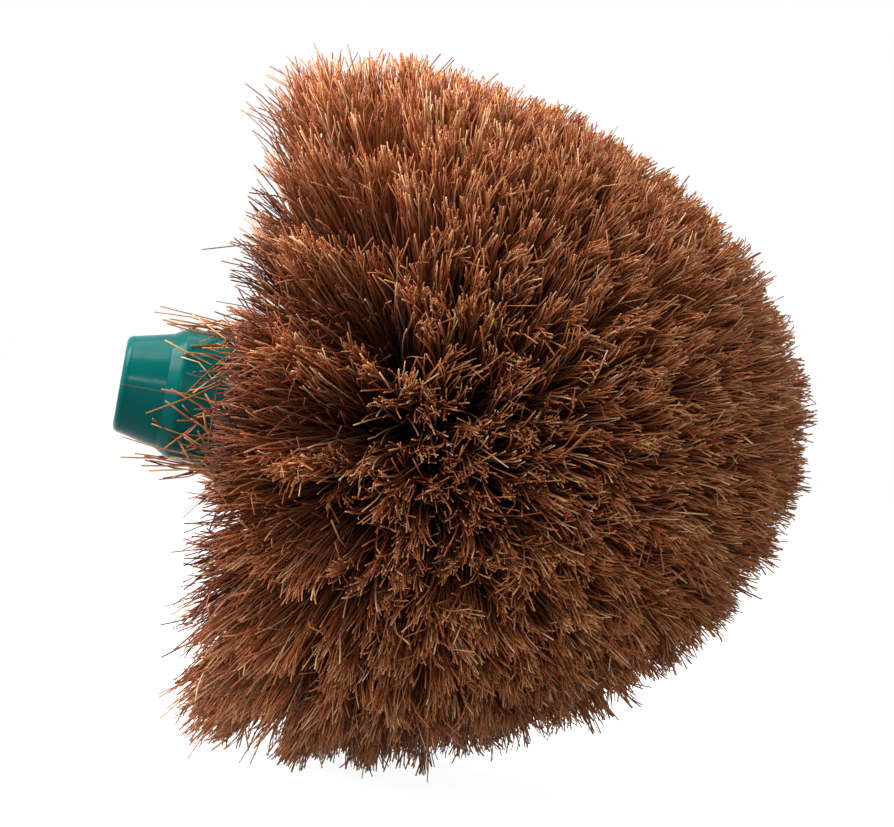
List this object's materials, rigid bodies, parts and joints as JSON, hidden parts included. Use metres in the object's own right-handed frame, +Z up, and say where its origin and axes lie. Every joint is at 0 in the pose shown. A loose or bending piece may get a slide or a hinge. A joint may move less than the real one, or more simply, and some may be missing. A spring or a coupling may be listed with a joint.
{
  "type": "cobweb brush",
  "caption": "Ball-shaped cobweb brush head of coir tufts on a moulded stock with a socket for a pole.",
  "frame": {"origin": "centre of the mouth of the handle socket", "axes": "+X along the axis of the brush, from the socket's mouth to the crown of the tufts; +Z up with the brush lying on its side"},
  "size_m": [0.1932, 0.1975, 0.1981],
  "materials": {
    "stock_plastic": "glossy moulded",
    "coir": "natural coir fibre",
    "anchor_steel": "flat wire"
  },
  "bodies": {
    "root": {"stock": "stock_plastic", "back_tufts_1": "coir", "back_tufts_2": "coir", "back_tufts_3": "coir", "back_tufts_4": "coir", "row_2_tufts": "coir", "row_3_tufts": "coir", "row_4_tufts": "coir", "row_5_tufts": "coir", "row_6_tufts": "coir", "row_7_tufts": "coir", "row_8_tufts": "coir", "row_9_tufts": "coir", "crown_tuft": "coir", "back_anchors": "anchor_steel", "row_2_anchors": "anchor_steel", "row_3_anchors": "anchor_steel", "row_4_anchors": "anchor_steel", "row_5_anchors": "anchor_steel", "row_6_anchors": "anchor_steel", "row_7_anchors": "anchor_steel", "row_8_anchors": "anchor_steel", "row_9_anchors": "anchor_steel", "crown_anchor": "anchor_steel"}
  },
  "joints": []
}
